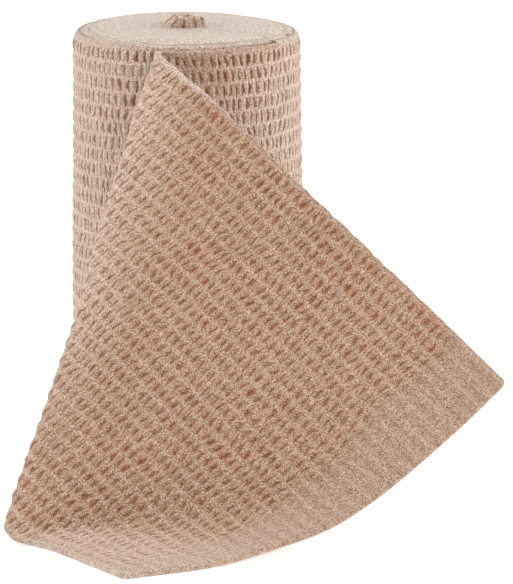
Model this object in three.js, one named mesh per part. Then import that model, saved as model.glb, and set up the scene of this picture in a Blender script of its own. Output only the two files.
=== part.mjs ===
import * as THREE from 'three';
import * as BufferGeometryUtils from 'three/addons/utils/BufferGeometryUtils.js';

// A long stretch bandage roll with its loose end turned back over itself, in millimetres, +Z up.
// The roll stands on z = 0 with its axis at x = y = 0. The loose end comes down on the -Y side.
// An azimuth is measured round the roll from -Y towards +X, so the strip winds off with a falling one.

// The strip
const CLOTH = 1.6; // thickness of the crepe cloth
const WOUND_WIDTH = 99; // of the outer turn, so the height of its rim
const LOOSE_WIDTH = 102; // past the crease, where nothing stretches the strip and narrows it
const CUT_SKEW = 8; // the cut end runs this much further along the top selvedge than along the bottom one
const CUT_BOW = 2.5; // and it bows out this much in the middle

// The roll
const ROLL_RADIUS = 28; // over the outer turn where the loose end leaves it, halfway up
const ROLL_HEIGHT = 100; // of the inner turns, which stand a little proud of the outer one
const BARREL = 0.6; // the roll is this much slimmer at its rims than halfway up
const RIM_ROUND = 1; // rounding of the top rim and of the foot
// The outer turn's rim, from its wall over its top into the groove before the next turn
const RIM_SECTION = [
  { inwards: 0, up: -1 },
  { inwards: 0.25, up: -0.3 },
  { inwards: 0.8, up: 0 },
  { inwards: 1.4, up: -0.35 },
  { inwards: 1.7, up: -0.9 },
];
const DOME = 0.8; // the top face swells this much towards its middle
const RIM_DROOP = 0.7; // the rim sags this much where it sags most
const DROOP_AZIMUTH = 95;
const GAP = 0.3; // between the roll and its loose end
const PEEL_AZIMUTH = 54; // where the loose end leaves the roll

// The innermost turns, pushed up into a small oval plug
const PLUG = { x: -0.3, y: 2.4, wide: 9.4, deep: 7, height: 3, lean: 0.16 };
const PLUG_RINGS = [
  { share: 1.15, up: -0.04 },
  { share: 1, up: 0.12 },
  { share: 0.97, up: 0.62 },
  { share: 0.8, up: 0.95 },
  { share: 0.4, up: 1 },
  { share: 0, up: 0.96 },
];

// The loose end: where its two layers meet at the foot of the crease, and how it goes on from there
const CREASE_FOOT = { x: -36.9, y: -91.8 };
const CREASE_SLANT = 65; // the crease runs this much further along the strip at the foot than at the top
const CREASE_RADIUS = { foot: 2.9, top: 1.3 }; // of the middle of the cloth, round the turn
const FOOT_LENGTH = 43; // bottom selvedge from the crease to the cut end
const FOOT_HEADING = -55; // its direction on the table, in degrees from +X
// Soft bends of the loose end, which fan out from the foot of the crease. All three are in degrees: at
// is the angle from the crease to the bend's middle, half is half of its width, and turn is how far the
// cloth bends up across it, so a negative one rounds the cloth over.
const BENDS = [
  { at: 95, half: 10, turn: 12 },
  { at: 73, half: 10, turn: 50.5 },
  { at: 45, half: 16, turn: -4.5 },
  { at: 18, half: 16, turn: -7 },
];

// Steps of the meshes
const ROLL_STEPS = 60;
const SIDE_STEPS = 10;
const STRIP_ROWS = 26;
const FLAP_STEPS = 12;
const CREASE_STEPS = 8;
const FREE_STEPS = 24;
const TOP_RINGS = [0.85, 0.6, 0.4]; // as shares of the radius
const FAN_STEP = 0.5; // degrees between the rulings that the fan is worked out at
const TANGENT_ROUNDS = 6; // of the search for where a taut thread leaves the roll and meets the crease

const COLOURS = { roll: '#c4a68e', looseEnd: '#b89578' };

const radians = THREE.MathUtils.degToRad;
const lerp = THREE.MathUtils.lerp;
const smooth = (x) => THREE.MathUtils.smoothstep(x, 0, 1);
const vec = (x, y, z) => new THREE.Vector3(x, y, z);

// Round the roll

function rollRadius(turn, z) {
  const fromMiddle = (2 * z) / WOUND_WIDTH - 1;
  return ROLL_RADIUS - turn * (CLOTH + GAP) - BARREL * fromMiddle * fromMiddle;
}

function roundRoll(radius, azimuth, z) {
  const a = radians(azimuth);
  return vec(radius * Math.sin(a), -radius * Math.cos(a), z);
}

// One section of the roll from the axis at the base, over the side and the top, to the axis again.
// turn goes from 0 at the peel line, once round, to 1.
function rollSection(turn, azimuth) {
  const droop = RIM_DROOP * smooth(Math.cos(radians(azimuth - DROOP_AZIMUTH)));
  const rim = WOUND_WIDTH - droop * (1 - turn);
  const wall = (z) => rollRadius(turn, z);
  const inner = rollRadius(1, WOUND_WIDTH);
  const innerTop = ROLL_HEIGHT - 0.5 * droop * (1 - turn);
  const points = [[0, 0], [wall(0) - RIM_ROUND, 0], [wall(0) - 0.3 * RIM_ROUND, 0.3 * RIM_ROUND]];
  for (let i = 0; i <= SIDE_STEPS; i++) {
    const z = lerp(RIM_ROUND, rim - 2 * RIM_ROUND, i / SIDE_STEPS);
    points.push([wall(z), z]);
  }
  // The outer turn's rim and groove run out into the wall of the next turn after going once round.
  RIM_SECTION.forEach(({ inwards, up }, i) => {
    const runOut = rim - lerp(2 * RIM_ROUND, 0.5 * RIM_ROUND, (i + 1) / RIM_SECTION.length);
    points.push([lerp(wall(rim) - inwards, inner, turn), lerp(rim + up, runOut, turn)]);
  });
  points.push([inner, innerTop - RIM_ROUND], [inner - 0.3 * RIM_ROUND, innerTop - 0.3 * RIM_ROUND]);
  points.push([inner - RIM_ROUND, innerTop]);
  for (const share of TOP_RINGS) {
    points.push([inner * share, innerTop + DOME * (1 - share * share)]);
  }
  return points;
}

function plugPoint({ share, up }, azimuth) {
  const a = radians(azimuth);
  const uneven = 1 + 0.05 * Math.cos(3 * a) + 0.04 * Math.sin(5 * a);
  const x = PLUG.x + 0.5 * PLUG.wide * share * uneven * Math.sin(a);
  const y = PLUG.y - 0.5 * PLUG.deep * share * uneven * Math.cos(a);
  const higherLeft = 1 - PLUG.lean * share * Math.sin(a);
  return vec(x, y, ROLL_HEIGHT + DOME + PLUG.height * up * higherLeft);
}

function woundRoll() {
  const grid = [];
  for (let i = 0; i <= ROLL_STEPS; i++) {
    const turn = i / ROLL_STEPS;
    const azimuth = PEEL_AZIMUTH + 360 * turn;
    const shell = rollSection(turn, azimuth).map(([radius, z]) => roundRoll(radius, azimuth, z));
    grid.push([...shell, ...PLUG_RINGS.map((ring) => plugPoint(ring, azimuth))]);
  }
  grid.push(grid[0]); // the step that the outer turn ends in
  return closedGeometry([{ grid, flip: true }]);
}

// The fan of rulings, from the bottom selvedge back to the crease: the direction of each one.
// Between two rulings the cloth is flat, so the ruling turns in the cloth's plane, and the plane is
// then bent about it.
const creaseToThread = THREE.MathUtils.radToDeg(Math.atan2(LOOSE_WIDTH, CREASE_SLANT));
const FAN_ANGLE = 180 - creaseToThread;

function bentUpTo(angle) {
  return BENDS.reduce((sum, b) => sum + b.turn * smooth((b.at + b.half - angle) / (2 * b.half)), 0);
}

function fanOfRulings() {
  const along = vec(Math.cos(radians(FOOT_HEADING)), Math.sin(radians(FOOT_HEADING)), 0);
  const up = vec(0, 0, 1);
  const rulings = [{ angle: FAN_ANGLE, along: along.clone(), up: up.clone() }];
  const steps = Math.ceil(FAN_ANGLE / FAN_STEP);
  for (let i = 1; i <= steps; i++) {
    const from = FAN_ANGLE * (1 - (i - 1) / steps);
    const to = FAN_ANGLE * (1 - i / steps);
    const bend = radians(bentUpTo(to) - bentUpTo(from));
    up.applyAxisAngle(along, bend / 2);
    along.applyAxisAngle(up, radians(from - to));
    up.applyAxisAngle(along, bend / 2);
    rulings.push({ angle: to, along: along.clone(), up: up.clone() });
  }
  return rulings.reverse();
}

const rulings = fanOfRulings();
const foot = vec(CREASE_FOOT.x, CREASE_FOOT.y, CLOTH / 2);
const creaseLine = rulings[0].along; // direction of the crease, from its foot up
const creaseUp = rulings[0].up; // the free sheet's own normal there
const creaseLeft = creaseUp.clone().cross(creaseLine).normalize(); // across the crease, away from the sheet

function rulingAt(angle) {
  const place = THREE.MathUtils.clamp(angle / FAN_ANGLE, 0, 1) * (rulings.length - 1);
  const i = Math.min(Math.floor(place), rulings.length - 2);
  return rulings[i].along.clone().lerp(rulings[i + 1].along, place - i).normalize();
}

// A point of the free sheet, by its place along the strip from the foot of the crease and its row,
// 0 at the bottom selvedge and 1 at the top one.
function freePoint(along, row) {
  const across = row * LOOSE_WIDTH;
  const fromFoot = Math.hypot(along, across);
  const angle = FAN_ANGLE - THREE.MathUtils.radToDeg(Math.atan2(across, along));
  return rulingAt(angle).multiplyScalar(fromFoot).add(foot);
}

// A point on the turn of the crease: swing is the angle round it from the free sheet, in radians.
// A thread crosses the crease at a slant, so it climbs along the crease as it goes round.
function creasePoint(row, swing) {
  const radius = lerp(CREASE_RADIUS.foot, CREASE_RADIUS.top, row);
  const length = (row * LOOSE_WIDTH) / Math.sin(radians(creaseToThread));
  const climb = (radius * swing) / Math.tan(radians(creaseToThread));
  const out = radius * (Math.cos(swing) - 1);
  return foot.clone()
    .addScaledVector(creaseLine, length + climb)
    .addScaledVector(creaseUp, out)
    .addScaledVector(creaseLeft, radius * Math.sin(swing));
}

// Where a row's thread leaves the roll and meets the crease: a taut thread touches both.
function tautThread(row) {
  const z = row * WOUND_WIDTH;
  const hug = rollRadius(0, z) - CLOTH / 2;
  const radius = lerp(CREASE_RADIUS.foot, CREASE_RADIUS.top, row);
  let swing = Math.PI / 2;
  let leaves = 0;
  for (let round = 0; round < TANGENT_ROUNDS; round++) {
    const end = creasePoint(row, swing);
    const away = Math.max(Math.hypot(end.x, end.y), hug + 0.001);
    leaves = THREE.MathUtils.radToDeg(Math.atan2(end.x, -end.y) + Math.acos(hug / away));
    const centre = creasePoint(row, swing)
      .addScaledVector(creaseUp, -radius * Math.cos(swing))
      .addScaledVector(creaseLeft, -radius * Math.sin(swing));
    const reach = roundRoll(hug, leaves, z).sub(centre);
    const behind = reach.dot(creaseUp);
    const leftwards = reach.dot(creaseLeft);
    const facing = 2 * Math.PI + Math.atan2(leftwards, behind);
    const distance = Math.max(Math.hypot(behind, leftwards), radius * 1.001);
    swing = Math.min(facing - Math.acos(radius / distance), Math.PI);
  }
  return { z, hug, leaves: Math.min(leaves, PEEL_AZIMUTH - 1), swing, end: creasePoint(row, swing) };
}

// A point of the flap that runs from the roll to the crease: share goes from 0 on the peel line,
// round the roll and straight across, to 1 on the crease.
function flapPoint(thread, share) {
  const { z, hug, leaves, end } = thread;
  const start = PEEL_AZIMUTH - THREE.MathUtils.radToDeg(GAP / hug);
  const spiral = (azimuth) => hug + ((CLOTH + GAP) * (start - azimuth)) / 360;
  const off = roundRoll(spiral(leaves), leaves, z);
  const round = hug * radians(start - leaves);
  const straight = off.distanceTo(end);
  const gone = share * (round + straight);
  if (gone <= round) {
    const azimuth = lerp(start, leaves, gone / round);
    return roundRoll(spiral(azimuth), azimuth, z);
  }
  return off.lerp(end, (gone - round) / straight);
}

function looseEnd() {
  const middle = [];
  for (let j = 0; j <= STRIP_ROWS; j++) {
    const row = j / STRIP_ROWS;
    const thread = tautThread(row);
    const points = [];
    for (let i = 0; i < FLAP_STEPS; i++) {
      points.push(flapPoint(thread, i / FLAP_STEPS));
    }
    for (let i = 0; i < CREASE_STEPS; i++) {
      points.push(creasePoint(row, thread.swing * (1 - i / CREASE_STEPS)));
    }
    const creaseAt = -CREASE_SLANT * row;
    const cutAt = FOOT_LENGTH + CUT_SKEW * row + 4 * CUT_BOW * row * (1 - row);
    for (let i = 0; i <= FREE_STEPS; i++) {
      points.push(freePoint(lerp(creaseAt, cutAt, i / FREE_STEPS), row));
    }
    middle.push(points);
  }
  return sheetGeometry(middle);
}

// The two faces of a cloth, half its thickness each side of a grid of points down its middle.
function sheetGeometry(middle) {
  const rows = middle.length - 1;
  const columns = middle[0].length - 1;
  const at = (j, i) => middle[THREE.MathUtils.clamp(j, 0, rows)][THREE.MathUtils.clamp(i, 0, columns)];
  const face = (side) => middle.map((points, j) => points.map((point, i) => {
    const along = at(j, i + 1).clone().sub(at(j, i - 1));
    const across = at(j + 1, i).clone().sub(at(j - 1, i));
    const normal = along.cross(across).normalize();
    const moved = point.clone().addScaledVector(normal, (side * CLOTH) / 2);
    moved.z = Math.max(moved.z, 0);
    return moved;
  }));
  const front = face(1);
  const back = face(-1);
  const edge = (pick) => [pick(front), pick(back)];
  const first = edge((f) => f[0]);
  const last = edge((f) => f[rows]);
  const left = edge((f) => f.map((points) => points[0]));
  const right = edge((f) => f.map((points) => points[columns]));
  return closedGeometry([
    { grid: front },
    { grid: back, flip: true },
    { grid: first, flip: true },
    { grid: last },
    { grid: left },
    { grid: right, flip: true },
  ]);
}

// One closed mesh from grids of points that meet along their edges. A quad whose corners coincide
// loses a triangle.
function closedGeometry(patches) {
  const positions = [];
  const corner = (p) => positions.push(p.x, p.y, p.z);
  for (const { grid, flip } of patches) {
    for (let j = 0; j + 1 < grid.length; j++) {
      for (let i = 0; i + 1 < grid[0].length; i++) {
        const [a, b, c, d] = [grid[j][i], grid[j][i + 1], grid[j + 1][i + 1], grid[j + 1][i]];
        for (const triangle of [[a, b, c], [a, c, d]]) {
          (flip ? triangle.reverse() : triangle).forEach(corner);
        }
      }
    }
  }
  const geometry = new THREE.BufferGeometry();
  geometry.setAttribute('position', new THREE.Float32BufferAttribute(positions, 3));
  const merged = BufferGeometryUtils.mergeVertices(geometry, 1e-3);
  const kept = [];
  const index = merged.index.array;
  for (let i = 0; i < index.length; i += 3) {
    const [a, b, c] = [index[i], index[i + 1], index[i + 2]];
    if (a !== b && b !== c && c !== a) {
      kept.push(a, b, c);
    }
  }
  merged.setIndex(kept);
  merged.computeVertexNormals();
  return merged;
}

function clothMesh(name, geometry, colour) {
  const material = new THREE.MeshStandardMaterial({ color: colour, roughness: 0.95, metalness: 0 });
  const mesh = new THREE.Mesh(geometry, material);
  mesh.name = name;
  return mesh;
}

const bandage = new THREE.Group();
bandage.add(clothMesh('wound_roll', woundRoll(), COLOURS.roll));
bandage.add(clothMesh('loose_end', looseEnd(), COLOURS.looseEnd));

export default bandage;
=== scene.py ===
# %% [markdown]
# # A long stretch bandage roll
#
# The object is one strip of crepe cloth, 10 cm wide. Most of it is wound up into a roll that stands on
# its edge, and its loose end is folded back over itself on a slanting crease and fans out to the table.
# The solids of this object are loaded first, as a frame that every visible piece is fitted to.

import math

import bpy
import numpy as np
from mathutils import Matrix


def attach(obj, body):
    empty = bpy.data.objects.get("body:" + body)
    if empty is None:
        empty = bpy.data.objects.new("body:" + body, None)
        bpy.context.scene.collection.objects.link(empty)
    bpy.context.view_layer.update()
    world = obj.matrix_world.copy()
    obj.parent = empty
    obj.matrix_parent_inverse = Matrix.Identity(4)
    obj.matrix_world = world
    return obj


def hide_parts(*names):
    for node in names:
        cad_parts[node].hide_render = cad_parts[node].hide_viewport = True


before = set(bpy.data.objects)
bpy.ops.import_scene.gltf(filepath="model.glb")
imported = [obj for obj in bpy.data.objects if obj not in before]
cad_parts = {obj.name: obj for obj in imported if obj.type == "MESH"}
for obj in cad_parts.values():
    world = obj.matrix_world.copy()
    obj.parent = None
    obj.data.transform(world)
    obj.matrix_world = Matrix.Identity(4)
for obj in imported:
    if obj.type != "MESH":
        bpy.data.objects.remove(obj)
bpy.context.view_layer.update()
MM = 0.001  # shapes are worked out in millimetres, and Blender wants metres
print("frame nodes:", sorted(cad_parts))

# %% [markdown]
# ## The camera
#
# The picture was taken from a little over a metre away with a long lens, from about 13 degrees above.
# A longer lens from further off would flatten the roll's top face, so the distance matters as much as
# the angle.

# %% Place the camera
PICTURE_HEIGHT = 584  # pixels, the longer side of the picture
FOCAL_PIXELS = 5100  # the lens's focal length in the same pixels
SENSOR = 36  # millimetres for the longer side
CAMERA_PLACE = (0.0171, -1.2, 0.307)
CAMERA_PITCH = 12.728  # degrees below the horizon

camera = bpy.data.objects.new("camera", bpy.data.cameras.new("camera"))
camera.location = CAMERA_PLACE
camera.rotation_euler = (math.radians(90 - CAMERA_PITCH), 0, 0)
camera.data.sensor_width = SENSOR
camera.data.lens = FOCAL_PIXELS * SENSOR / PICTURE_HEIGHT
bpy.context.scene.collection.objects.link(camera)
bpy.context.scene.camera = camera
print("lens:", round(camera.data.lens, 1), "mm")

# %% [markdown]
# ## The strip as a sheet of paper
#
# Every point of the strip has two numbers: how far along the strip it is, and how far up across it.
# Along counts millimetres from the lowest point of the crease, growing towards the cut end. Row goes
# from 0 at the lower edge to 1 at the upper one. The shapes below say where each such point lies.

# %% Sizes of the roll
ROLL_RADIUS = 28.5  # halfway up, where the loose end leaves the roll
BARREL = 0.6  # how much less the radius is at both rims
PITCH = 1.9  # from one turn of the roll to the next
WOUND_WIDTH = 99
PEEL_AZIMUTH = 54  # degrees round the roll from -Y towards +X, where the loose end leaves it
PEEL_TOP = 99.8  # height of the strip's upper edge there
PEEL_ALONG = -101.5  # place along the strip there

# %% Sizes of the loose end
CLOTH = 1.6  # thickness
LOOSE_WIDTH = 102
SPREAD = 0.013  # share by which the free end has grown wider
SPREAD_FROM, SPREAD_OVER = -15, 66  # where along the strip that begins, and the length over which it grows
CUT_SKEW = 8.5  # how much further the upper edge reaches than the lower one
CUT_BOW = 3.1  # how far the cut end bulges between its corners
CORNER = 1.5  # radius of the cut end's corners
FOOT = np.array([-36.9, -91.8, CLOTH / 2])  # the crease's lowest point
FOOT_LENGTH = 43.15  # of the lower edge, from the foot to the cut end
FOOT_HEADING = -55  # direction of the lower edge on the table, in degrees from +X
CREASE_SLANT = 65  # how far back along the strip the crease runs on its way up
CREASE_RADIUS = (2.9, 1.3)  # at the foot and at the top
CREASE_TO_THREAD = math.degrees(math.atan2(LOOSE_WIDTH, CREASE_SLANT))
FAN_ANGLE = 180 - CREASE_TO_THREAD  # from the crease to the lower edge, within the cloth
BENDS = [(95, 10, 12), (73, 10, 50.5), (45, 16, -4.5), (18, 16, -7)]  # place, half width, turn, in degrees

# %% Small helpers for curves and noise
NOISE_SIZE = 512  # the lattice of the noise repeats after so many cells


def ease(x):
    """0 below 0, 1 above 1, and three x squared less two x cubed between them."""
    x = np.clip(x, 0, 1)
    return x * x * (3 - 2 * x)


def mix(a, b, share):
    """a where share is 0 and b where it is 1."""
    return a + (b - a) * share


def unit(v):
    """Each vector divided by its length."""
    return v / np.maximum(np.linalg.norm(v, axis=-1, keepdims=True), 1e-12)


def quarter_round(distance, drop, reach):
    """How far a rounded edge falls away: by the whole drop at the edge itself, and by nothing at the reach
    and beyond, along a quarter of an ellipse."""
    return drop * (1 - np.sqrt(1 - np.clip(1 - distance / reach, 0, 1) ** 2))


def noise(x, y, seed):
    """Smooth noise from -1 to 1: random values on a lattice of whole numbers, eased between corners."""
    values = np.random.default_rng(seed).uniform(-1, 1, (NOISE_SIZE, NOISE_SIZE))
    x, y = np.broadcast_arrays(np.asarray(x, float), np.asarray(y, float))
    i, j = np.floor(x).astype(int), np.floor(y).astype(int)
    left, right = i % NOISE_SIZE, (i + 1) % NOISE_SIZE
    bottom, top = j % NOISE_SIZE, (j + 1) % NOISE_SIZE
    across, up = ease(x - i), ease(y - j)
    low = mix(values[left, bottom], values[right, bottom], across)
    high = mix(values[left, top], values[right, top], across)
    return mix(low, high, up)


# %% [markdown]
# ## The free part: a fan of straight lines
#
# Cloth that bends without stretching keeps one straight line through each point. Here these lines all
# start at the foot of the crease, like the ribs of a fan. Going from the table back to the crease, the
# line turns within the cloth, and the cloth bends about the line, so that most of it stands up steeply
# and its lower part lies down on the table.

# %% The directions of the fan
FAN_STEPS = 246


def turned(v, axis, angle):
    """v turned about a unit axis by an angle in radians: v times the cosine, plus the axis's cross product
    with v times the sine, plus v's part along the axis times one less the cosine."""
    kept = axis * (axis @ v)
    return v * math.cos(angle) + np.cross(axis, v) * math.sin(angle) + kept * (1 - math.cos(angle))


def bent_up_to(angle):
    """The sum of the bends passed on the way from the lower edge to an angle from the crease."""
    return sum(turn * ease((at + half - angle) / (2 * half)) for at, half, turn in BENDS)


fan_angles = np.linspace(FAN_ANGLE, 0, FAN_STEPS)
heading = math.radians(FOOT_HEADING)
line, up = np.array([math.cos(heading), math.sin(heading), 0]), np.array([0, 0, 1.0])
fan_lines, fan_ups = [line], [up]
for start, end in zip(fan_angles[:-1], fan_angles[1:]):
    bend = math.radians(bent_up_to(end) - bent_up_to(start))
    up = turned(up, line, bend / 2)
    line = turned(line, up, math.radians(start - end))
    up = turned(up, line, bend / 2)
    fan_lines.append(line)
    fan_ups.append(up)
fan_angles, fan_lines = fan_angles[::-1], np.array(fan_lines[::-1])
CREASE_LINE, CREASE_UP = fan_lines[0], fan_ups[-1]
CREASE_LEFT = unit(np.cross(CREASE_UP, CREASE_LINE))
print("crease runs along", CREASE_LINE.round(3))


def free_point(along, row):
    """The foot, plus the fan's line at the point's angle, times its distance from the foot."""
    wider = 1 + SPREAD * np.clip((along - SPREAD_FROM) / SPREAD_OVER, 0, 1)
    across = row * LOOSE_WIDTH * wider
    angle = FAN_ANGLE - np.degrees(np.arctan2(across, along))
    direction = unit(np.stack([np.interp(angle, fan_angles, fan_lines[:, k]) for k in range(3)], -1))
    return FOOT + direction * np.hypot(along, across)[..., None]


# %% [markdown]
# ## The crease and the flap behind it
#
# At the crease the strip goes round a thin cone and comes back behind itself. From there each of its
# threads runs straight to the roll, which it touches, and then round the roll to where the wound turns
# begin. The straight part has to touch both the cone and the roll, and repeating two tangent
# constructions a few times finds it.

# %% Crease and taut threads
TANGENT_ROUNDS = 6


def round_roll(radius, azimuth, z):
    """The point at this radius, azimuth in degrees and height."""
    a = np.radians(azimuth)
    return np.stack(np.broadcast_arrays(radius * np.sin(a), -radius * np.cos(a), z), -1)


def roll_radius(turn, z):
    """The outer radius, less a pitch for each turn, less a little towards both rims."""
    return ROLL_RADIUS - turn * PITCH - BARREL * (2 * z / WOUND_WIDTH - 1) ** 2


def crease_point(row, swing):
    """Along the crease's cone, which the thread climbs as it swings round it."""
    radius = mix(*CREASE_RADIUS, row)
    slant = math.radians(CREASE_TO_THREAD)
    length = row * LOOSE_WIDTH / math.sin(slant) + radius * swing / math.tan(slant)
    return (FOOT + CREASE_LINE * length[..., None] + CREASE_UP * (radius * (np.cos(swing) - 1))[..., None]
            + CREASE_LEFT * (radius * np.sin(swing))[..., None])


def taut_threads(row):
    """For each row: the roll's radius, the azimuth where the thread leaves it and its swing round the
    crease, from tangents drawn by turns to the roll and to the crease."""
    hug = roll_radius(0, row * WOUND_WIDTH) - CLOTH / 2
    radius = mix(*CREASE_RADIUS, row)
    swing = np.full_like(row, math.pi / 2)
    for _ in range(TANGENT_ROUNDS):
        end = crease_point(row, swing)
        away = np.maximum(np.hypot(end[:, 0], end[:, 1]), hug + 0.001)
        leaves = np.degrees(np.arctan2(end[:, 0], -end[:, 1]) + np.arccos(hug / away))
        centre = end - CREASE_UP * (radius * np.cos(swing))[:, None]
        centre = centre - CREASE_LEFT * (radius * np.sin(swing))[:, None]
        reach = round_roll(hug, leaves, row * PEEL_TOP) - centre
        behind, left = reach @ CREASE_UP, reach @ CREASE_LEFT
        distance = np.maximum(np.hypot(behind, left), radius * 1.001)
        swing = 2 * math.pi + np.arctan2(left, behind) - np.arccos(radius / distance)
        swing = np.minimum(swing, math.pi)
    return hug, np.minimum(leaves, PEEL_AZIMUTH - 1), swing


# %% The whole middle surface of the loose end
def strip_middle(along, row):
    """The point of the strip's middle for arrays (columns, rows) of along and row: on the fan past the
    crease, round the crease for the length of its turn, and on the flap before that, where the thread's
    length is shared out between the roll and the straight part."""
    rows = row[0]
    hug, leaves, swing = taut_threads(rows)
    radius = mix(*CREASE_RADIUS, rows)
    crease_at = -CREASE_SLANT * rows
    turn_length = radius * swing / math.sin(math.radians(CREASE_TO_THREAD))
    past = crease_at - along
    points = free_point(np.maximum(along, crease_at + 1e-6), row)
    on_turn = crease_point(row, np.clip(past / turn_length, 0, 1) * swing)
    share = 1 - (past - turn_length) / (crease_at - turn_length - PEEL_ALONG)
    z = rows * PEEL_TOP
    end = crease_point(rows, swing)
    off = round_roll(hug + PITCH * (PEEL_AZIMUTH - leaves) / 360, leaves, z)
    on_roll = hug * np.radians(PEEL_AZIMUTH - leaves)
    straight = np.linalg.norm(end - off, axis=-1)
    gone = np.clip(share, 0, 1) * (on_roll + straight)
    azimuth = mix(PEEL_AZIMUTH, leaves, np.clip(gone / on_roll, 0, 1))
    hugging = round_roll(hug + PITCH * (PEEL_AZIMUTH - azimuth) / 360, azimuth, z)
    crossing = off + (end - off) * (np.clip(gone - on_roll, 0, None) / straight)[..., None]
    flap = np.where((gone <= on_roll)[..., None], hugging, crossing)
    points = np.where((past > 0)[..., None], on_turn, points)
    return np.where((past > turn_length)[..., None], flap, points)


# %% [markdown]
# ## The weave
#
# Crepe cloth has lengthwise threads about 3.5 mm apart and crosswise ribs about 2 mm apart. In each
# lane between two threads the ribs leave small gaps, some of them open and dark and others nearly
# closed, and on the roll the lane next to each edge has the largest. The edges themselves are smooth,
# and the last stretch before the cut end is woven plain. The large forms of this are real relief in the
# mesh, and the same numbers are kept in its UV map and in an attribute, so that the finish can follow
# them.

# %% Ribs, lanes and gaps
RIB = 2.05
LANE = 3.45
LANES = 28
SELVEDGE = 1.0  # from each edge of the cloth to its first lane
STAGGER = 0.5  # the gaps of a lane lie opposite the ribs of the next one
RANDOM_RIBS = 400  # the openness of the gaps repeats after so many ribs
SMOOTH_EDGE = ([-90, -76, -62, -45], [0.5, 1, 1, 0.1])  # places along the strip, and its width there
SMOOTH_FADE = 0.9  # width over which the ribs begin beside it
END_BAND = 15.5
END_PLAIN = 0.92  # how much of the relief is missing in the end band
GAP_DEPTH = 0.55
PUFF = 0.3  # how far the lengthwise threads pull the cloth in


def gap_openness(along, rib, lane):
    """How open each gap is, from 0 to 1: a random number for each gap, more in some stretches of a lane,
    and most in the two lanes along the edges of the roll."""
    in_lane = np.clip(np.floor(lane).astype(int), -1, LANES) + 1
    random = np.random.default_rng(3).random((RANDOM_RIBS, LANES + 2))
    random = random[np.floor(rib + STAGGER * in_lane).astype(int) % RANDOM_RIBS, in_lane]
    stretch = 0.5 + 0.5 * noise(along / 5.5, in_lane * 3.7, 7)
    edge_on_roll = 0.4 + 0.3 * random + 0.3 * stretch
    edge_when_loose = 0.2 + 0.25 * random + 0.3 * stretch
    at_edge = mix(edge_on_roll, edge_when_loose, ease((along + 95) / 40))
    inside = 0.25 + 0.35 * random ** 2 + 0.2 * stretch ** 2
    openness = np.where((in_lane == 1) | (in_lane == LANES), at_edge, inside)
    return np.clip(openness * (1 + 0.25 * noise(along / 17, lane / 4, 4)), 0, 1)


def weave(along, row, width, cut=None):
    """Numbers of the weave at each point. lane counts lanes down from the upper edge, and rib counts ribs,
    with a wander that differs from lane to lane. plain is 1 on the smooth edges and nearly 1 in the end
    band, which is narrower lower down."""
    down = (1 - row) * width
    lane = (down - SELVEDGE) / ((width - 2 * SELVEDGE) / LANES)
    rib = along / RIB + 0.45 * noise(along / 11, lane / 3, 1) + 0.3 * noise(along / 3.5, lane * 0.8, 2)
    openness = gap_openness(along, rib, lane)
    from_edge = np.minimum(down, width - down)
    plain = 1 - ease((from_edge - np.interp(along, *SMOOTH_EDGE)) / SMOOTH_FADE)
    if cut is not None:
        into_band = along - cut + END_BAND * (1 - 0.6 * (1 - row) ** 2)
        in_band = ease((into_band + 3) / 6 + 0.3 * noise(lane, along / 4, 5))
        plain = np.maximum(plain, END_PLAIN * in_band)
    return rib, lane, openness, np.clip(plain, 0, 1)


def relief(rib, lane, openness, plain):
    """How far the surface lies below its highest level: up to the gap's depth halfway between two ribs
    in the middle of a lane, and up to the puff along the lengthwise threads, which hold the cloth in."""
    phase = rib + STAGGER * (np.floor(lane) + 1)
    between = (0.5 - 0.5 * np.cos(2 * math.pi * phase)) ** 2
    inside = ease((0.5 - np.abs(lane % 1 - 0.5)) / 0.4)
    at_thread = np.cos(math.pi * lane) ** 2
    return (GAP_DEPTH * (0.3 + 0.7 * openness) * between * inside + PUFF * at_thread) * (1 - plain)


# %% Build a mesh from arrays
def new_piece(name, points, quads, weave_uv, tones):
    """A mesh object from points, four corners for each face, a UV pair and four tones for each point.
    Points that no face uses are left out, and a face with two equal corners becomes a triangle."""
    used, quads = np.unique(quads, return_inverse=True)
    quads = quads.reshape(-1, 4)
    points, weave_uv, tones = points[used], weave_uv[used], tones[used]
    same = quads == np.roll(quads, -1, axis=1)
    whole = quads[~same.any(1)]
    cut = quads[same.sum(1) == 1]
    cut = cut[~(cut == np.roll(cut, -1, axis=1))].reshape(-1, 3)
    corners = np.concatenate([whole.ravel(), cut.ravel()]).astype(np.int32)
    sides = np.concatenate([np.full(len(whole), 4), np.full(len(cut), 3)])
    starts = np.concatenate([[0], np.cumsum(sides)[:-1]])
    mesh = bpy.data.meshes.new(name)
    mesh.vertices.add(len(points))
    mesh.vertices.foreach_set("co", (points * MM).astype(np.float32).ravel())
    mesh.loops.add(len(corners))
    mesh.loops.foreach_set("vertex_index", corners)
    mesh.polygons.add(len(sides))
    mesh.polygons.foreach_set("loop_start", starts.astype(np.int32))
    mesh.polygons.foreach_set("loop_total", sides.astype(np.int32))
    mesh.update(calc_edges=True)
    weave_map = mesh.uv_layers.new(name="weave")
    weave_map.uv.foreach_set("vector", weave_uv[corners].astype(np.float32).ravel())
    four_tones = mesh.attributes.new("tones", "FLOAT_COLOR", "POINT")
    four_tones.data.foreach_set("color", tones.astype(np.float32).ravel())
    mesh.shade_smooth()
    piece = bpy.data.objects.new(name, mesh)
    bpy.context.scene.collection.objects.link(piece)
    print(name, len(points), "points,", int((sides - 2).sum()), "triangles")
    return piece


def grid_quads(index):
    """The faces between neighbours in a grid of point numbers, counter-clockwise with columns first."""
    return np.stack([index[:-1, :-1], index[1:, :-1], index[1:, 1:], index[:-1, 1:]], -1).reshape(-1, 4)


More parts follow.
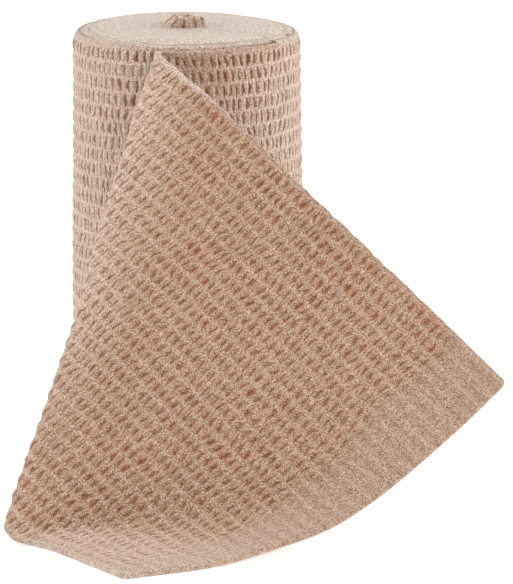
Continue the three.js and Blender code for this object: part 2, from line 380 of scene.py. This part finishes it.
# %% [markdown]
# ## The loose end
#
# The loose end is a closed sheet: a front and a back, each half the cloth's thickness from its middle,
# which meet in a rounded edge at both selvedges and at the cut end. The middle is gently uneven, as
# slack cloth is, and smoothed a little near the foot of the crease, where the fan's lines meet.

# %% Helpers for a sheet of cloth
EDGE_STEPS = [0, 0.12, 0.42]  # millimetres from an edge, where the rounding needs closer points
EVEN_FROM = 0.85  # where the even steps begin
ROW_STEPS = 143


def rows_across(width):
    """Shares of the width: close together at the edges, and even between them."""
    edge = np.array(EDGE_STEPS)
    even = np.linspace(EVEN_FROM, width - EVEN_FROM, ROW_STEPS)
    return np.concatenate([edge, even, width - edge[::-1]]) / width


def round_edge(distance, thickness):
    """Half the thickness of a cloth at a distance from its edge: a quarter circle, and then level."""
    near = np.clip(1 - distance / (thickness / 2), 0, 1)
    return thickness / 2 * np.sqrt(1 - near ** 2)


def smoothed(points, weight, rounds):
    """Each point moved towards the mean of its four neighbours, by its weight, several times."""
    for _ in range(rounds):
        mean = points.copy()
        mean[1:-1, 1:-1] = (points[2:, 1:-1] + points[:-2, 1:-1] + points[1:-1, 2:] + points[1:-1, :-2]) / 4
        mean[1:-1, 0] = (points[2:, 0] + points[:-2, 0]) / 2
        mean[1:-1, -1] = (points[2:, -1] + points[:-2, -1]) / 2
        points = points + (mean - points) * weight[..., None]
    return points


def surface_normals(points):
    """The cross product of the directions along and across, from the differences of neighbours."""
    return unit(np.cross(np.gradient(points, axis=0), np.gradient(points, axis=1)))


# %% Lay out the middle of the loose end
COLUMNS = 336
SLANTED_FROM = 5  # from here along the strip, the columns come to follow the slanting cut end
SMOOTH_ROUNDS, SMOOTH_REACH = 24, 12  # for the foot
CREASE_PULL = ([0, 0.1, 0.3, 0.42, 0.7, 1], [1.6, 1.1, 0.7, 0.2, 1.4, 1.4])  # rows, and how far to the left
FOOT_PULL, FOOT_PULL_REACH = 5, 9  # how far the foot comes forward, and how far round it
LOOSE_FROM_ROLL = 20  # length of strip over which unevenness begins, past the roll
WAVY_EDGE, WAVY_REACH = 0.18, 4  # how far the edge wanders up and down, and how deep into the cloth
UNEVEN = 0.45  # how far the middle wanders in and out

share = np.linspace(0, 1, COLUMNS)[:, None]
row = np.broadcast_to(rows_across(LOOSE_WIDTH), (COLUMNS, ROW_STEPS + 2 * len(EDGE_STEPS)))
to_selvedge = np.minimum(row, 1 - row) * LOOSE_WIDTH
cut_at = FOOT_LENGTH + CUT_SKEW * row + 4 * CUT_BOW * row * (1 - row)
cut_at = cut_at - quarter_round(to_selvedge, CORNER, CORNER)
base_along = mix(PEEL_ALONG, FOOT_LENGTH, share)
slanted = ease((base_along - SLANTED_FROM) / (FOOT_LENGTH - SLANTED_FROM))
along = base_along + (cut_at - FOOT_LENGTH) * slanted
middle = strip_middle(along, row)

from_foot = np.linalg.norm(middle - FOOT, axis=-1)
middle = smoothed(middle, 0.9 * (1 - ease(from_foot / SMOOTH_REACH)), SMOOTH_ROUNDS)
pulled = np.interp(row, *CREASE_PULL)
pulled = pulled * np.exp(-((along + CREASE_SLANT * row + 3) / 13) ** 2)  # strongest just behind the crease
middle = middle + CREASE_LEFT * pulled[..., None]
middle[..., 1] -= FOOT_PULL * np.exp(-(from_foot / FOOT_PULL_REACH) ** 2)

off_roll = ease((along - PEEL_ALONG) / LOOSE_FROM_ROLL)
wavy = WAVY_EDGE * noise(along / 1.7, 3 * np.round(row), 41) * (1 - ease(to_selvedge / WAVY_REACH))
middle = middle + unit(np.gradient(middle, axis=1)) * (wavy * off_roll)[..., None]
off_table = ease(middle[..., 2] / 12)
normals = surface_normals(middle)
middle = middle + normals * (off_roll * off_table * UNEVEN * noise(along / 15, row * 8, 6))[..., None]
print("loose end from", middle.min((0, 1)).round(1), "to", middle.max((0, 1)).round(1))

# %% Give it thickness and relief
width_here = mix(WOUND_WIDTH, LOOSE_WIDTH, ease((along - PEEL_ALONG) / 60))
rib, lane, openness, plain = weave(along, row, width_here, cut_at)
half = round_edge(np.minimum(to_selvedge, np.maximum(cut_at - along, 0)), CLOTH)
half[-1] = 0
sunk = relief(rib, lane, openness, plain) * np.minimum(half / (CLOTH / 2), 1)
normals = surface_normals(middle)
front = middle + normals * (half - sunk)[..., None]
back = middle - normals * (half - sunk)[..., None]
front[..., 2] = np.maximum(front[..., 2], 0.02)  # nothing goes below the table
back[..., 2] = np.maximum(back[..., 2], 0)
print("thickness up to", round(float((half - sunk).max() * 2), 2), "mm")

# %% Tell the finish how the loose end changes
past_crease = along + CREASE_SLANT * row
# the cloth is slack and browner past the crease, sooner near the table; just behind the crease, on the flap
# in the fold's shade, the same browner colour is painted shade
behind = ease((-past_crease - 6) / 4) * (1 - ease((-past_crease - 10) / 35))
slack_and_painted_shade = np.maximum(ease((past_crease + 8 + 12 * ease((0.5 - row) / 0.4)) / 25), 0.75 * behind)
# where it lies on the table it has fewer gaps, less brown and a little pale tone, as painted light on the
# part that faces up; just past the crease it has fewer gaps, as a painted highlight on the fold's edge
lying_painted_light = 1 - ease((middle[..., 2] - 0.9) / 3)
fold_painted_highlight = 0.4 * np.exp(-((past_crease - 3) / 9) ** 2) * ease(row / 0.3)
# a pale line follows both edges, and the upper one is widest near the roll and thin towards the cut end;
# the lower one is partly the edge's own paler colour and partly painted light that lifts the shade on its
# rounded edge
pale_width = mix(1.3, -0.4, ease((along + 62) / 25))
high_edge = (1 - ease(((1 - row) * LOOSE_WIDTH - pale_width) / 0.7)) * 0.42 * ease((past_crease + 5) / 3)
# the lower pale edge is partly painted light on the rounded edge that faces down
low_edge = 0.3 * (1 - ease((row * LOOSE_WIDTH - 0.2) / 2.5)) * ease((past_crease - 2) / 3)
# the pale tone where the cloth lies on the table is painted light
pale = np.maximum(np.maximum(high_edge, low_edge), 0.15 * lying_painted_light)

tones = np.stack([openness * (1 - plain) * (1 - 0.6 * lying_painted_light) * (1 - fold_painted_highlight), plain,
                  slack_and_painted_shade * (1 - 0.4 * lying_painted_light), pale], -1).reshape(-1, 4)
print("tones of the loose end, on average:", tones.mean(0).round(2))

# %% Make the loose end
front_index = np.arange(row.size).reshape(row.shape)
back_index = front_index + row.size
back_index[:, [0, -1]] = front_index[:, [0, -1]]  # both sides share the points of the selvedges
back_index[-1] = front_index[-1]  # and of the cut end
peel_face = np.stack([back_index[0], front_index[0]])
quads = np.concatenate([grid_quads(front_index), grid_quads(back_index)[:, ::-1], grid_quads(peel_face)])
uv = np.stack([rib, lane], -1).reshape(-1, 2)
loose_cloth = new_piece("loose_cloth", np.concatenate([front.reshape(-1, 3), back.reshape(-1, 3)]), quads,
                        np.concatenate([uv, uv]), np.concatenate([tones, tones]))

# %% [markdown]
# ## The roll
#
# The roll is one closed shell. Its side has the same weave, as one turn of a spiral. On the top the
# edges of all turns lie side by side as soft rounded ridges, and the outer turn is up to a millimetre
# lower than the turns inside it, by an uneven amount. The base, which carries the roll, is flat, with
# shallow grooves between the turns.

# %% The heights of the top and of the base
TOP_FRONT, TOP_BACK = 101.45, 100.15
RISE, RISE_AZIMUTH, RISE_REACH = 0.4, 205, 50  # a part of the top's back that is a little higher
OUTER_LOW = ([0, 0.3, 0.6, 0.8, 1, 1.3, 1.6, 2],  # turns wound in from the peel
             [1, 0.4, 1, 0.6, 0.6, 0.1, 0.4, 0])  # and how much lower the top is there
SHOULDER = (1.5, 2.8)  # how far in and how far down the rim is rounded
SEAM_STRENGTH = ([1, 1.15, 1.35, 1.5, 1.6, 1.9, 2.05, 2.5, 2.6, 2.8, 2.9, 4],
                 [0.4, 0.4, 0.2, 0.2, 0.4, 0.65, 0.3, 0.3, 0.7, 0.6, 0.2, 0.15])
SEAM_DEPTH, BASE_SEAM_DEPTH = 0.3, 0.35
NOTCH_PAST_PEEL, NOTCH_TURNS_IN = 23, 1.3  # degrees past the peel, and turns in from the side


def top_height(radius, turn, azimuth):
    """The height of the top face, and how near to a seam between two turns it is. across counts turns
    inwards from the side, and wound counts them along the spiral. The face slopes from its front to its
    back. Where the outer turn is lower, the next one shows its rounded shoulder beside it. Each seam is a
    groove between two rounded edges, and a small notch lies near where the outer turn ends."""
    across = (roll_radius(turn, WOUND_WIDTH) - radius) / PITCH
    turns_in = np.floor(across)
    wound = turns_in + turn
    level = mix(TOP_BACK, TOP_FRONT, 0.5 + 0.5 * np.cos(np.radians(azimuth)) * radius / ROLL_RADIUS)
    level = level + RISE * np.exp(-((azimuth - RISE_AZIMUTH) / RISE_REACH) ** 2)
    lowered = np.interp(wound, *OUTER_LOW)
    step = np.maximum(np.interp(wound - 1, *OUTER_LOW) - lowered, 0) * (turns_in >= 1)
    shoulder = quarter_round((across - turns_in) * PITCH, SHOULDER[1], SHOULDER[0])
    number = np.round(across) + turn
    strength = np.interp(number, *SEAM_STRENGTH) * (1 + 0.6 * noise(number * 11, 0.5, 21))
    half_seam = mix(0.45, 0.3, ease(number - 1.8))
    seam = strength * (1 - ease(np.abs(across - np.round(across)) / half_seam)) * ease((across - 0.5) / 0.2)
    off_notch = ((azimuth - PEEL_AZIMUTH - NOTCH_PAST_PEEL) / 4) ** 2
    notch = np.exp(-off_notch - ((across - NOTCH_TURNS_IN) / 0.35) ** 2)
    z = level - lowered - np.minimum(shoulder, step) - SEAM_DEPTH * seam - notch
    return z + 0.1 * noise(wound * 9, 7.5, 22), np.maximum(seam, notch)


def base_height(radius, turn):
    """The height of the base and how near to a seam it is: flat, with a shallow groove between turns."""
    across = (roll_radius(turn, 0) - radius) / PITCH
    strength = 0.5 + 0.3 * noise((np.round(across) + turn) * 11, 0.5, 24)
    seam = strength * (1 - ease(np.abs(across - np.round(across)) / 0.35))
    seam = seam * ease((across - 0.5) / 0.2) * ease((radius - 2) / 2)
    return BASE_SEAM_DEPTH * seam, seam


# %% Work out the side
TURN_COLUMNS = 330
SIDE_UNEVEN = 0.25
SIDE_JOIN = 0.08  # share of the turn at both its ends, where the side is kept even
SHOULDER_END = 1.2  # how far down the rim is rounded where the turn ends, beside the step
BASE_EDGE = 0.8  # radius of the lower edge

turn = np.linspace(0, 1, TURN_COLUMNS)[:, None]
azimuth = PEEL_AZIMUTH + 360 * turn
wound_length = np.radians(360 * turn) * (ROLL_RADIUS - PITCH * turn / 2)
wall_row, wall_along = np.broadcast_arrays(rows_across(WOUND_WIDTH), PEEL_ALONG - wound_length)
rib, lane, openness, plain = weave(wall_along, wall_row, WOUND_WIDTH)
rim_radius = roll_radius(turn, WOUND_WIDTH) - SHOULDER[0]
rim_height = top_height(rim_radius, turn, azimuth)[0]
wall_z = wall_row * rim_height
rim_depth = mix(SHOULDER[1], SHOULDER_END, ease((turn - 0.85) / 0.15))
rounding = quarter_round(rim_height - wall_z, SHOULDER[0], rim_depth)
rounding = rounding + quarter_round(wall_z, BASE_EDGE, BASE_EDGE)
uneven = SIDE_UNEVEN * noise(wall_along / 19, wall_row * 6, 23)
uneven = uneven * ease(turn / SIDE_JOIN) * ease((1 - turn) / SIDE_JOIN)
wall_radius = roll_radius(turn, wall_z) - rounding - relief(rib, lane, openness, plain) + uneven
print("side radius", wall_radius.min().round(2), "to", wall_radius.max().round(2), "mm")

# %% Work out the top and the base
FIXED_RADIUS = 23.2  # rings are round from here inwards, and follow the spiral outside it
TOP_RINGS, BASE_RINGS = (9, 63), (6, 46)  # along the spiral, and round


def ring_radii(rim, spiral_rings, round_rings):
    """The radius of each ring from the rim inwards to the middle."""
    ring = np.arange(1, spiral_rings + round_rings + 1)[None, :]
    return np.where(ring <= spiral_rings, mix(rim, FIXED_RADIUS, ring / spiral_rings),
                    FIXED_RADIUS * (1 - (ring - spiral_rings) / round_rings))


top_radius = ring_radii(rim_radius, *TOP_RINGS)
top_z, seams = top_height(top_radius, turn, azimuth)
top_z[:, -1] = top_z[:, -1].mean()
base_radius = ring_radii(wall_radius[:, :1], *BASE_RINGS)[:, ::-1]
base_z, base_seams = base_height(base_radius, turn)
print("top from", top_z.min().round(1), "to", top_z.max().round(1), "mm")

# %% Close the shell and make the roll
shell = np.concatenate([base_radius, wall_radius, top_radius], 1)
shell_z = np.concatenate([base_z, wall_z, top_z], 1)
points = round_roll(shell, azimuth, shell_z)
index = np.arange(shell.size).reshape(shell.shape)
index[:, 0], index[:, -1] = index[0, 0], index[0, -1]  # one point in the middle of each face
round_part = shell[0] < FIXED_RADIUS + 0.01
index[-1, round_part] = index[0, round_part]  # where rings are round, the turn ends at its own beginning
quads = grid_quads(np.concatenate([index, index[:1]]))

around = azimuth / 4
on_top, on_base = np.zeros_like(top_radius), np.zeros_like(base_radius)
shell_uv = np.stack([np.concatenate([around + on_base, rib, around + on_top], 1),
                     np.concatenate([base_radius / PITCH, lane, top_radius / PITCH], 1)], -1).reshape(-1, 2)
tones = np.stack([np.concatenate([base_seams, openness * (1 - plain), seams], 1),
                  np.concatenate([on_base + 1, plain, on_top + 1], 1),
                  np.zeros_like(shell),
                  np.concatenate([on_base + 0.6, 0.3 * plain, on_top + 0.6], 1)], -1).reshape(-1, 4)
roll_cloth = new_piece("roll_cloth", points.reshape(-1, 3), quads, shell_uv, tones)

# %% [markdown]
# ## The innermost turns
#
# In the middle the first turns were wound by hand into a small flat coil, and they stand up out of the
# top face by about 3 mm. They are a thick ribbon that follows an oval spiral, with the weave's ribs as
# soft ridges down its sides. A section carried along a path gives such a ribbon.

# %% The path and the section of the innermost turns
CORE = np.array([0.25, 0.5])  # the coil's middle
CORE_HALF = (5.3, 3.0)  # from there to the middle of the ribbon, at its outer end
CORE_START = 3.0  # radians round the coil where the ribbon begins
CORE_TURNS = 1.4
CORE_SHRINK = 0.62  # share by which the spiral narrows
CORE_THICK = 2.0
CORE_FOOT = 100.7  # height of the top face there
CORE_SUNK = 2  # how deep the ribbon reaches below it
CORE_RISE = 2.6
CORE_RIBS = 14
CORE_STEPS, SECTION_STEPS = 150, 28


def squared(wave):
    """A wave with flatter crests: its sign times its size to the power 0.8."""
    return np.sign(wave) * np.abs(wave) ** 0.8


t = np.linspace(0, 1, CORE_STEPS)[:, None]
angle = 2 * math.pi * CORE_TURNS * t + CORE_START
shrink = 1 - CORE_SHRINK * t
path = np.stack([CORE[0] + CORE_HALF[0] * shrink * np.sin(angle),
                 CORE[1] - CORE_HALF[1] * shrink * np.cos(angle)], -1)
outward = unit(np.stack([np.gradient(path[:, 0, 1]), -np.gradient(path[:, 0, 0])], -1))[:, None, :]
round_section = np.linspace(0, 2 * math.pi, SECTION_STEPS, endpoint=False)[None, :]
bulge = 1 + 0.05 * np.cos(2 * math.pi * t * CORE_RIBS) + 0.3 * noise(t * 17, round_section, 31)
swell = squared(np.cos(round_section)) * CORE_THICK / 2 * bulge
core_low = CORE_FOOT - CORE_SUNK
core_high = CORE_FOOT + CORE_RISE + 0.6 * ease(-np.sin(angle)) + 0.6 * noise(t * 14, 0.5, 32)
height = mix(core_low, core_high, 0.5 + 0.5 * squared(np.sin(round_section)))
print("innermost turns reach", core_high.min().round(1), "to", core_high.max().round(1), "mm")

# %% Make the innermost turns
wider = 1.12 - 0.16 * (height - core_low) / (core_high - core_low)  # the coil narrows upwards
core_xy = CORE + (path - CORE) * wider[..., None] + outward * swell[..., None]
lean = 2.2 * ease((height - CORE_FOOT) / 3)  # and its left side leans inwards
core_xy[..., 0] += lean * np.clip((CORE[0] - core_xy[..., 0]) / 5, 0, 1)
core_points = np.concatenate([core_xy, height[..., None]], -1)
ends = core_points[[0, -1]].mean(1)
core_index = np.arange(CORE_STEPS * SECTION_STEPS).reshape(CORE_STEPS, SECTION_STEPS)
first, last = core_index.size, core_index.size + 1
looped = np.concatenate([core_index, core_index[:, :1]], 1)
looped = np.concatenate([np.full_like(looped[:1], first), looped, np.full_like(looped[:1], last)])
core_uv = np.stack(np.broadcast_arrays(t * CORE_RIBS, (core_high - height) / LANE + 0.1), -1).reshape(-1, 2)
upper = ease((height - core_high + 0.8) / 0.7)  # 1 on the upper edge, which has no gaps and is paler
core_tones = np.stack([0.4 * (1 - upper), 0.6 * upper, np.full_like(upper, 0.35), 0.15 + 0.15 * upper], -1)
core_tones = core_tones.reshape(-1, 4)
core_turns = new_piece("core_turns", np.concatenate([core_points.reshape(-1, 3), ends]), grid_quads(looped),
                       np.concatenate([core_uv, core_uv[:2]]), np.concatenate([core_tones, core_tones[:2]]))

# %% [markdown]
# ## The finish
#
# Everything is the same undyed-looking beige cotton with elastic in it. Its ribs are pale and matt, the
# gaps between them show the browner yarn below, darkened with painted shade, and the surface is slightly
# fuzzy. One material does it all: it reads the weave's numbers from the UV map and the attribute, so that
# the small dark gaps, browner yarn with painted shade, lie where the mesh has its hollows, and it adds the
# yarn as colour and bump. The four tones of a point say how open its gap is, how plain the weave is, how
# slack the cloth is, and how pale its edge is. The slack tone also paints shade on the flap just behind
# the crease, and the openness and pale tones also paint light where the cloth lies on the table, on the
# fold's edge and on its lower edge. Where the cloth is plain, the first of them is the strength of a seam
# instead.

# %% Helpers for nodes
class Nodes:
    """Adds nodes to a material's tree. Its methods, apart from add and join, return an output socket."""

    def __init__(self, tree):
        self.tree = tree

    def add(self, kind, **settings):
        made = self.tree.nodes.new(kind)
        for name, value in settings.items():
            setattr(made, name, value)
        return made

    def join(self, socket, value):
        """Links a socket to an input, or sets the input to a plain value."""
        if isinstance(value, bpy.types.NodeSocket):
            self.tree.links.new(value, socket)
        else:
            socket.default_value = value

    def put(self, made, *values, **named):
        """Joins values to a node's inputs in their order, and named ones to the inputs of those names."""
        for socket, value in zip(made.inputs, values):
            self.join(socket, value)
        for name, value in named.items():
            self.join(made.inputs[name], value)
        return made.outputs[0]

    def math(self, operation, *values):
        return self.put(self.add("ShaderNodeMath", operation=operation), *values)

    def product(self, first, second):
        return self.math("MULTIPLY", first, second)

    def sum_of(self, start, *terms):
        """start, plus each term's socket times its factor."""
        for socket, factor in terms:
            start = self.math("MULTIPLY_ADD", socket, factor, start)
        return start

    def step(self, value, low, high):
        """0 below low, 1 above high, eased between them."""
        made = self.add("ShaderNodeMapRange", interpolation_type="SMOOTHSTEP")
        return self.put(made, value, low, high, 0.0, 1.0)

    def to_whole(self, value):
        """How far a value is from the nearest whole number."""
        return self.math("PINGPONG", value, 0.5)

    def colour(self, share, first, second, blend="MIX"):
        made = self.add("ShaderNodeMix", data_type="RGBA", blend_type=blend)
        self.join(made.inputs["Factor"], share)
        for socket, value in zip([s for s in made.inputs if s.type == "RGBA"], (first, second)):
            self.join(socket, value if isinstance(value, bpy.types.NodeSocket) else (*value, 1))
        return [s for s in made.outputs if s.type == "RGBA"][0]

    def vector(self, x, y):
        return self.put(self.add("ShaderNodeCombineXYZ"), x, y, 0.0)

    def noise(self, vector, scale, roughness=0.5):
        """Noise of two octaves, from -0.5 to 0.5."""
        made = self.add("ShaderNodeTexNoise")
        value = self.put(made, Vector=vector, Scale=scale, Detail=1.0, Roughness=roughness)
        return self.math("SUBTRACT", value, 0.5)


def linear(red, green, blue):
    """The linear colour of three values from 0 to 255 as a screen has them."""
    return tuple(((c / 255 + 0.055) / 1.055) ** 2.4 for c in (red, green, blue))


# %% The marks of the weave and of its fibres
WANDER_SCALE, DRIFT_SCALE = 700.0, 1000.0  # cells in a metre
FUZZ_SCALE, FUZZ_ROUGHNESS = 3600.0, 0.7
FUZZ_LOW, FUZZ_HIGH = -0.18, 0.1


def gaps_and_threads(n, rib, lane, straight, openness, slack_and_painted_shade, woven):
    """Two sockets: how dark a gap is, and how much of a lengthwise thread shows. A gap is dark halfway
    between two ribs and away from the threads, its browner yarn darkened with painted shade. Its width and
    depth grow with the openness and with the slack tone, which just behind the crease is painted shade. A
    thread shows where the lane number is whole."""
    from_gap = n.to_whole(n.math("ADD", rib, 0.5))
    from_thread = n.to_whole(lane)
    wide = n.sum_of(0.19, (slack_and_painted_shade, 0.12), (openness, 0.3))
    wide = n.product(wide, n.sum_of(0.55, (n.step(from_thread, 0.0, 0.35), 0.45)))
    gap = n.math("SUBTRACT", 1.0, n.step(from_gap, 0.0, wide))
    gap = n.product(gap, n.step(from_thread, 0.0, n.sum_of(0.2, (slack_and_painted_shade, 0.22))))
    depth = n.sum_of(0.27, (slack_and_painted_shade, 0.15), (openness, 0.8))
    # the gap's darkness is the browner yarn with painted shade in the hollow
    dark = n.product(gap, n.product(depth, woven))
    thread = n.product(n.math("SUBTRACT", 1.0, n.step(n.to_whole(straight), 0.0, 0.2)), woven)
    return dark, n.product(thread, n.sum_of(0.58, (slack_and_painted_shade, -0.17)))


def fibres(n, place, rib, lane, straight_lane):
    """Three sockets of fine detail: single fibres in space, streaks of yarn that follow the weave, and
    rounded grains of less than half a rib."""
    fuzz = n.noise(place, FUZZ_SCALE, FUZZ_ROUGHNESS)
    fuzz = n.math("MAXIMUM", n.math("MINIMUM", fuzz, FUZZ_HIGH), FUZZ_LOW)
    streak = n.noise(n.vector(n.product(rib, 2.3), n.product(straight_lane, 2.6)), 1.0)
    cells = n.add("ShaderNodeTexVoronoi", voronoi_dimensions="2D")
    n.put(cells, Vector=n.vector(n.product(rib, 2.5), n.product(lane, 5.0)), Scale=1.0, Randomness=0.8)
    return fuzz, streak, n.math("SUBTRACT", 0.42, cells.outputs["Distance"])


def strands(n, rib, straight, woven, slack_plain):
    """Brightness of the single strands, about 1: two to a rib, and in the end band a stripe for each lane,
    from one broad and three narrow waves."""
    strand = n.math("COSINE", n.product(rib, 4 * math.pi))
    bright = n.sum_of(1.0, (n.product(strand, woven), -0.08))
    broad, narrow = (n.math("COSINE", n.product(straight, 2 * math.pi * waves)) for waves in (1, 3))
    return n.sum_of(bright, (n.product(n.sum_of(broad, (narrow, 0.6)), slack_plain), 0.08))


# %% The colours of the crepe
# the second colour here and the slack thread colour below are the browner slack cloth, and they also paint
# the shade on the flap just behind the crease
WOUND, SLACK_AND_SHADE = linear(184, 160, 140), linear(164, 131, 106)
PLAIN, EDGE, SEAM = linear(160, 134, 114), linear(203, 192, 180), linear(112, 84, 62)
THREAD, SLACK_AND_SHADE_THREAD = linear(194, 173, 158), linear(172, 146, 127)
GAP, OPEN_GAP = linear(104, 56, 18), linear(140, 78, 38)


def crepe_colour(n, openness, plain, slack_and_painted_shade, edge, dark, thread):
    """The ridges go from wound to slack cloth and to plain weave, are paler on the edges and the threads,
    and darker in the seams. The slack colour also paints the shade on the flap just behind the crease, and
    the pale edge colour also paints light where the cloth lies on the table and on its lower edge. Where a
    gap is dark, its colour takes over: browner yarn with painted shade."""
    ridge = n.colour(plain, n.colour(slack_and_painted_shade, WOUND, SLACK_AND_SHADE), PLAIN)
    ridge = n.colour(edge, ridge, EDGE)
    ridge = n.colour(n.product(openness, plain), ridge, SEAM)
    ridge = n.colour(thread, ridge, n.colour(slack_and_painted_shade, THREAD, SLACK_AND_SHADE_THREAD))
    return n.colour(dark, ridge, n.colour(n.product(openness, slack_and_painted_shade), GAP, OPEN_GAP))


# %% The crepe
SHEEN_TINT = (1, 0.91, 0.84, 1)
WARMTH = (1.3, 1.66)  # powers of green and blue, so that darker fibres are browner
DARKEST = 0.45
BUMP = 0.0005  # metres


def crepe_material(name):
    """The crepe's colour, made lighter and darker by a fine fuzz, streaks, grains and strands. The marks of
    the weave and of the fibres also raise and lower the surface as bump."""
    material = bpy.data.materials.new(name)
    material.use_nodes = True
    tree = material.node_tree
    n = Nodes(tree)
    shader = tree.nodes["Principled BSDF"]
    shader.inputs["Roughness"].default_value = 0.95
    shader.inputs["Specular IOR Level"].default_value = 0.1
    shader.inputs["Sheen Weight"].default_value = 0.35
    shader.inputs["Sheen Tint"].default_value = SHEEN_TINT

    place = n.add("ShaderNodeTexCoord").outputs["Object"]
    uv = n.add("ShaderNodeSeparateXYZ")
    n.put(uv, n.add("ShaderNodeUVMap", uv_map="weave").outputs[0])
    rib_here, lane_here = uv.outputs[:2]
    tones = n.add("ShaderNodeAttribute", attribute_name="tones")
    parts = n.add("ShaderNodeSeparateColor")
    n.put(parts, tones.outputs["Color"])
    openness, plain, slack_and_painted_shade = parts.outputs[:3]
    edge = tones.outputs["Alpha"]
    woven, wound = n.math("SUBTRACT", 1.0, plain), n.math("SUBTRACT", 1.0, slack_and_painted_shade)
    slack_plain = n.product(plain, slack_and_painted_shade)

    wander, drift = n.noise(place, WANDER_SCALE), n.noise(place, DRIFT_SCALE)
    staggered = n.math("ADD", rib_here, STAGGER)
    rib = n.sum_of(staggered, (n.math("FLOOR", lane_here), STAGGER), (wander, 0.55))
    lane = n.sum_of(lane_here, (drift, 0.4))
    straight = n.sum_of(lane_here, (drift, 0.15))
    dark, thread = gaps_and_threads(n, rib, lane, straight, openness, slack_and_painted_shade, woven)
    fuzz, streak, grain = fibres(n, place, rib, lane, lane_here)

    # the fuzz is stronger on slack cloth and on the top and base, and weaker on edges and in the end band
    fuzzy = n.sum_of(0.8, (slack_and_painted_shade, 0.38), (edge, -0.3), (n.product(plain, wound), 0.35),
                     (slack_plain, -0.28))
    shade = n.sum_of(strands(n, rib, straight, woven, slack_plain), (streak, 0.4),
                     (n.product(fuzz, fuzzy), 3.3), (grain, 0.3))
    shade = n.math("MAXIMUM", shade, DARKEST)
    green, blue = (n.math("POWER", shade, power) for power in WARMTH)
    tint = n.put(n.add("ShaderNodeCombineColor"), shade, green, blue)
    base = crepe_colour(n, openness, plain, slack_and_painted_shade, edge, dark, thread)
    n.join(shader.inputs["Base Color"], n.colour(1.0, base, tint, "MULTIPLY"))

    height = n.sum_of(n.product(thread, 0.15), (dark, -0.8), (fuzz, 0.75), (streak, 0.6), (grain, 0.4))
    bump = n.put(n.add("ShaderNodeBump"), Strength=1.0, Distance=BUMP, Height=height)
    n.join(shader.inputs["Normal"], bump)
    return material


crepe = crepe_material("crepe_cloth_finish")
for piece in (loose_cloth, roll_cloth, core_turns):
    piece.data.materials.append(crepe)
print("nodes in the finish:", len(crepe.node_tree.nodes))

# %% [markdown]
# ## Floor and light
#
# The object stands on a plain white floor in soft studio light: a bright surround, a large light from
# above and a little to the left, another from the right, and a faint one from the left. The floor glows
# slightly, as a light table does, so that it stays white beside the object.

# %% Set the floor and the surround
FLOOR_SIZE = 8
FLOOR_COLOUR = (0.93, 0.93, 0.93, 1)
FLOOR_GLOW = 0.55
SURROUND = 0.76

bpy.ops.mesh.primitive_plane_add(size=FLOOR_SIZE)
floor = bpy.context.object
floor.name = "floor"
white = bpy.data.materials.new("white_floor")
white.use_nodes = True
floor_finish = white.node_tree.nodes["Principled BSDF"].inputs
floor_finish["Base Color"].default_value = FLOOR_COLOUR
floor_finish["Roughness"].default_value = 1
floor_finish["Emission Color"].default_value = (1, 1, 1, 1)
floor_finish["Emission Strength"].default_value = FLOOR_GLOW
floor.data.materials.append(white)

world = bpy.data.worlds.new("surround")
world.use_nodes = True
world.node_tree.nodes["Background"].inputs["Color"].default_value = (1, 1, 1, 1)
world.node_tree.nodes["Background"].inputs["Strength"].default_value = SURROUND
bpy.context.scene.world = world
bpy.context.scene.view_settings.view_transform = "Standard"  # colours come out as they are set
print("floor", FLOOR_SIZE, "m wide, surround", SURROUND)

# %% Set the lights
LIGHT_SIZE = 0.8
AIM = (0, -0.03, 0.05)  # the point that all lights face
LIGHTS = [("light_above", (-0.35, 0, 1.25), 13), ("light_left", (-1.1, -0.4, 0.6), 1),
          ("light_right", (1.1, -0.3, 0.5), 8.5)]  # name, place and power


def area_light(name, place, power):
    """A square light that faces the point aimed at."""
    light = bpy.data.lights.new(name, "AREA")
    light.size, light.energy = LIGHT_SIZE, power
    lamp = bpy.data.objects.new(name, light)
    lamp.location = place
    away = np.array(AIM) - np.array(place)
    tilt = math.acos(-away[2] / np.linalg.norm(away))
    lamp.rotation_euler = (tilt, 0, math.atan2(away[1], away[0]) - math.pi / 2)
    bpy.context.scene.collection.objects.link(lamp)


for name, place, power in LIGHTS:
    area_light(name, place, power)
    print(name, power, "W")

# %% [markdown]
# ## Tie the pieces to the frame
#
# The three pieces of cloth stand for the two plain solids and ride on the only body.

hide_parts("wound_roll")
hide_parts("wound_roll")
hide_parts("loose_end")
for piece in (roll_cloth, core_turns, loose_cloth):
    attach(piece, "root")
